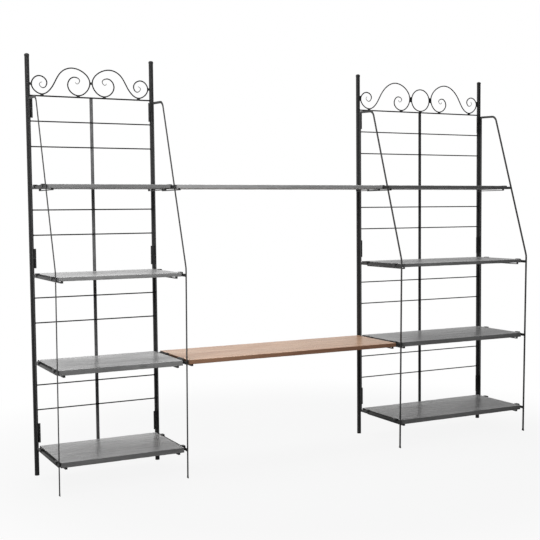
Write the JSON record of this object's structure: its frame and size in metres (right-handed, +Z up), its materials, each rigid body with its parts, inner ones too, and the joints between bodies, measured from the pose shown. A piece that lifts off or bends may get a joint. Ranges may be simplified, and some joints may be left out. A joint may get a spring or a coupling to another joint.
{
  "type": "shelving unit",
  "caption": "Wrought-iron shelving unit: ladder towers with scroll tops and hinged flat-bar side wings, wooden boards hooked between them, and longer boards linking the towers.",
  "frame": {"origin": "middle of the base at floor level", "axes": "+X to the right along the unit, +Y to the back towards the wall, +Z up"},
  "size_m": [2.7036, 0.4408, 2.0142],
  "materials": {
    "black_iron": "black paint, satin",
    "grey_wood": "grey stain, matt, with a darker edge",
    "brown_wood": "reddish brown stain, matt"
  },
  "bodies": {
    "frame": {"caps": "black_iron", "left_back_bars": "black_iron", "left_collars": "black_iron", "left_hinge_knuckles": "black_iron", "left_hinge_leaves": "black_iron", "left_middle_upright": "black_iron", "left_rungs": "black_iron", "left_scrolls": "black_iron", "left_top_rail": "black_iron", "left_uprights": "black_iron", "right_back_bars": "black_iron", "right_collars": "black_iron", "right_hinge_knuckles": "black_iron", "right_hinge_leaves": "black_iron", "right_middle_upright": "black_iron", "right_ring": "black_iron", "right_rungs": "black_iron", "right_scrolls": "black_iron", "right_top_rail": "black_iron", "right_uprights": "black_iron", "wing_1_front_bar": "black_iron", "wing_1_rails": "black_iron", "wing_2_front_bar": "black_iron", "wing_2_rails": "black_iron", "wing_3_front_bar": "black_iron", "wing_3_rails": "black_iron", "wing_4_front_bar": "black_iron", "wing_4_rails": "black_iron"},
    "left_board_1": {"left_board_1_hooks": "black_iron", "left_board_1_plank": "grey_wood", "left_board_1_straps": "black_iron"},
    "left_board_2": {"left_board_2_hooks": "black_iron", "left_board_2_plank": "grey_wood", "left_board_2_straps": "black_iron"},
    "left_board_3": {"left_board_3_hooks": "black_iron", "left_board_3_plank": "grey_wood", "left_board_3_straps": "black_iron"},
    "left_board_4": {"left_board_4_hooks": "black_iron", "left_board_4_plank": "grey_wood", "left_board_4_straps": "black_iron"},
    "right_board_1": {"right_board_1_hooks": "black_iron", "right_board_1_plank": "grey_wood", "right_board_1_straps": "black_iron"},
    "right_board_2": {"right_board_2_hooks": "black_iron", "right_board_2_plank": "grey_wood", "right_board_2_straps": "black_iron"},
    "right_board_3": {"right_board_3_hooks": "black_iron", "right_board_3_plank": "grey_wood", "right_board_3_straps": "black_iron"},
    "right_board_4": {"right_board_4_hooks": "black_iron", "right_board_4_plank": "grey_wood", "right_board_4_straps": "black_iron"},
    "upper_link_board": {"upper_link_board_hooks": "black_iron", "upper_link_board_plank": "grey_wood", "upper_link_board_straps": "black_iron"},
    "lower_link_board": {"lower_link_board_hooks": "black_iron", "lower_link_board_plank": "brown_wood", "lower_link_board_straps": "black_iron"}
  },
  "joints": [
    {"name": "left_board_1_lift", "type": "slide", "parent": "frame", "child": "left_board_1", "axis": [0, 0, 1], "range_m": [0, 0.045]},
    {"name": "left_board_2_lift", "type": "slide", "parent": "frame", "child": "left_board_2", "axis": [0, 0, 1], "range_m": [0, 0.045]},
    {"name": "left_board_3_lift", "type": "slide", "parent": "frame", "child": "left_board_3", "axis": [0, 0, 1], "range_m": [0, 0.045]},
    {"name": "left_board_4_lift", "type": "slide", "parent": "frame", "child": "left_board_4", "axis": [0, 0, 1], "range_m": [0, 0.045]},
    {"name": "right_board_1_lift", "type": "slide", "parent": "frame", "child": "right_board_1", "axis": [0, 0, 1], "range_m": [0, 0.045]},
    {"name": "right_board_2_lift", "type": "slide", "parent": "frame", "child": "right_board_2", "axis": [0, 0, 1], "range_m": [0, 0.045]},
    {"name": "right_board_3_lift", "type": "slide", "parent": "frame", "child": "right_board_3", "axis": [0, 0, 1], "range_m": [0, 0.045]},
    {"name": "right_board_4_lift", "type": "slide", "parent": "frame", "child": "right_board_4", "axis": [0, 0, 1], "range_m": [0, 0.045]},
    {"name": "upper_link_board_lift", "type": "slide", "parent": "frame", "child": "upper_link_board", "axis": [0, 0, 1], "range_m": [0, 0.045]},
    {"name": "lower_link_board_lift", "type": "slide", "parent": "frame", "child": "lower_link_board", "axis": [0, 0, 1], "range_m": [0, 0.045]}
  ]
}
